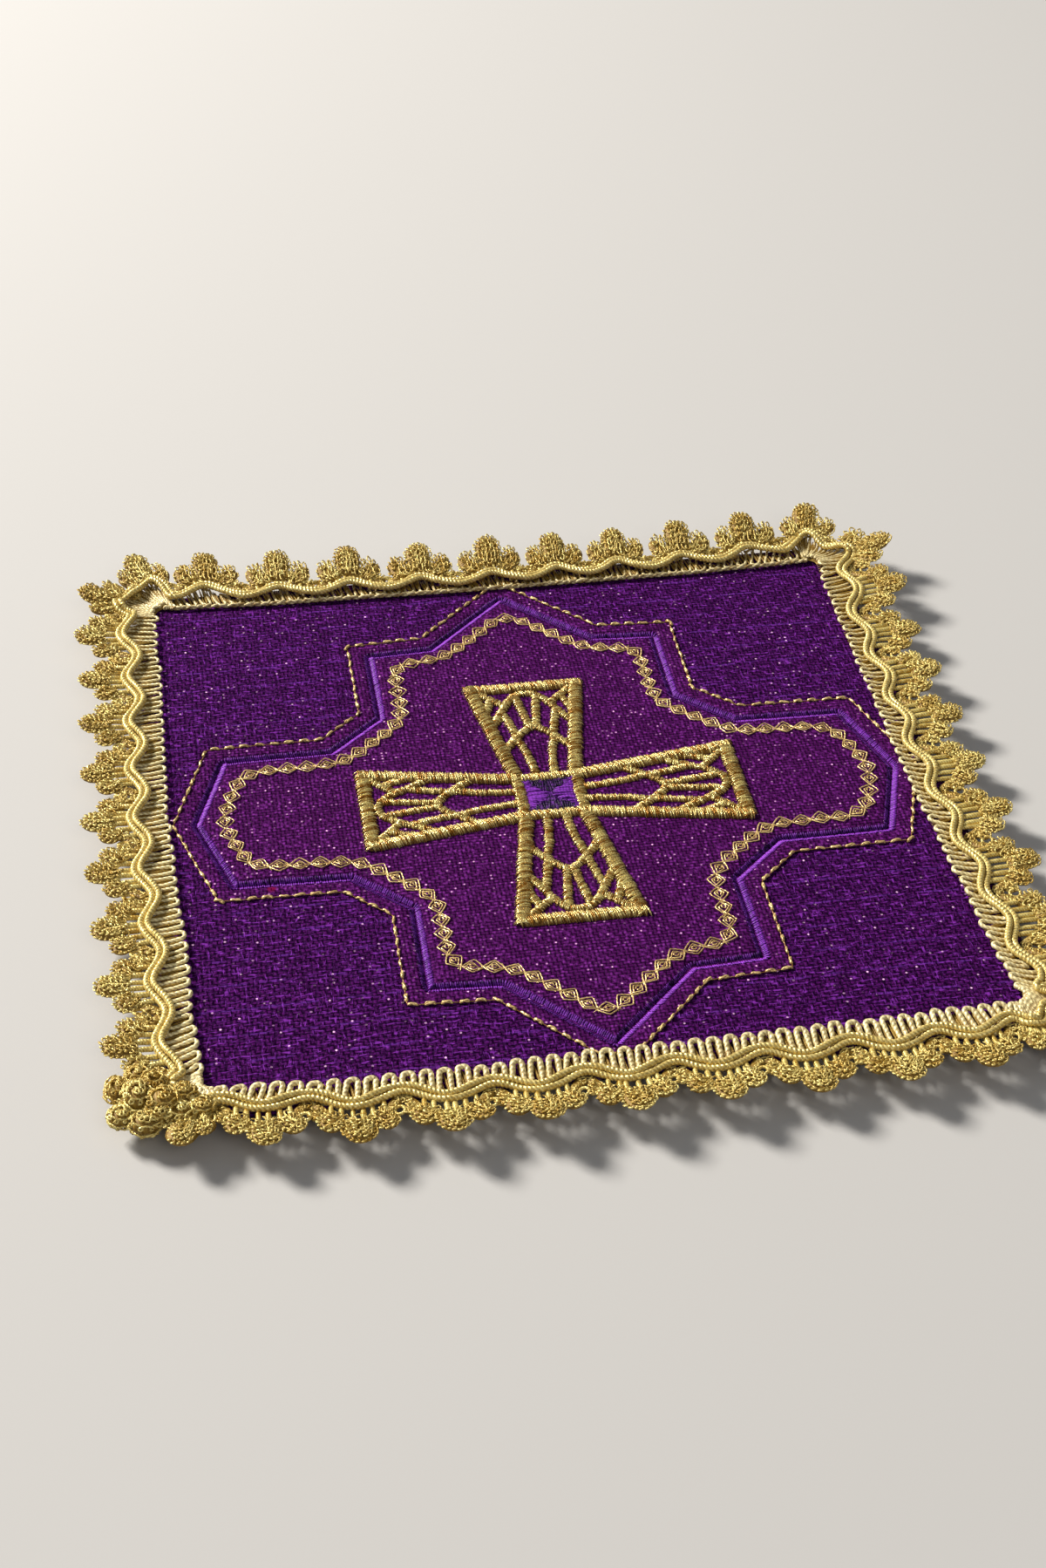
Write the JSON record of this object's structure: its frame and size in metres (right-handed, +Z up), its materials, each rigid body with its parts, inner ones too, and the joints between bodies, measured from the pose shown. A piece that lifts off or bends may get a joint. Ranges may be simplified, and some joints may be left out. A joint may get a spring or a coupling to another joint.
{
  "type": "chalice pall",
  "caption": "Stiff square purple cloth cover with a barbed quatrefoil medallion, an embroidered gold tracery cross and a scalloped gold lace edge, laid over a cup.",
  "frame": {"origin": "middle of the flat underside of the stiff square", "axes": "+Z up out of the decorated face, +Y away from the front edge, +X right"},
  "size_m": [0.1743, 0.1748, 0.008],
  "materials": {
    "ground_cloth": "woven violet cloth with lighter slub threads",
    "medallion_cloth": "fine plum dotted weave with small sparkling threads",
    "gold_thread": "metallic gold embroidery thread in satin stitch",
    "violet_satin": "violet rayon satin stitch",
    "lace_yarn": "crocheted gold lace yarn",
    "gimp_yarn": "wrapped gold gimp cord"
  },
  "bodies": {
    "root": {"panel": "ground_cloth", "medallion": "medallion_cloth", "cross_embroidery": "gold_thread", "cross_centre": "violet_satin", "lace": "lace_yarn", "gimp_cord": "gimp_yarn"}
  },
  "joints": []
}
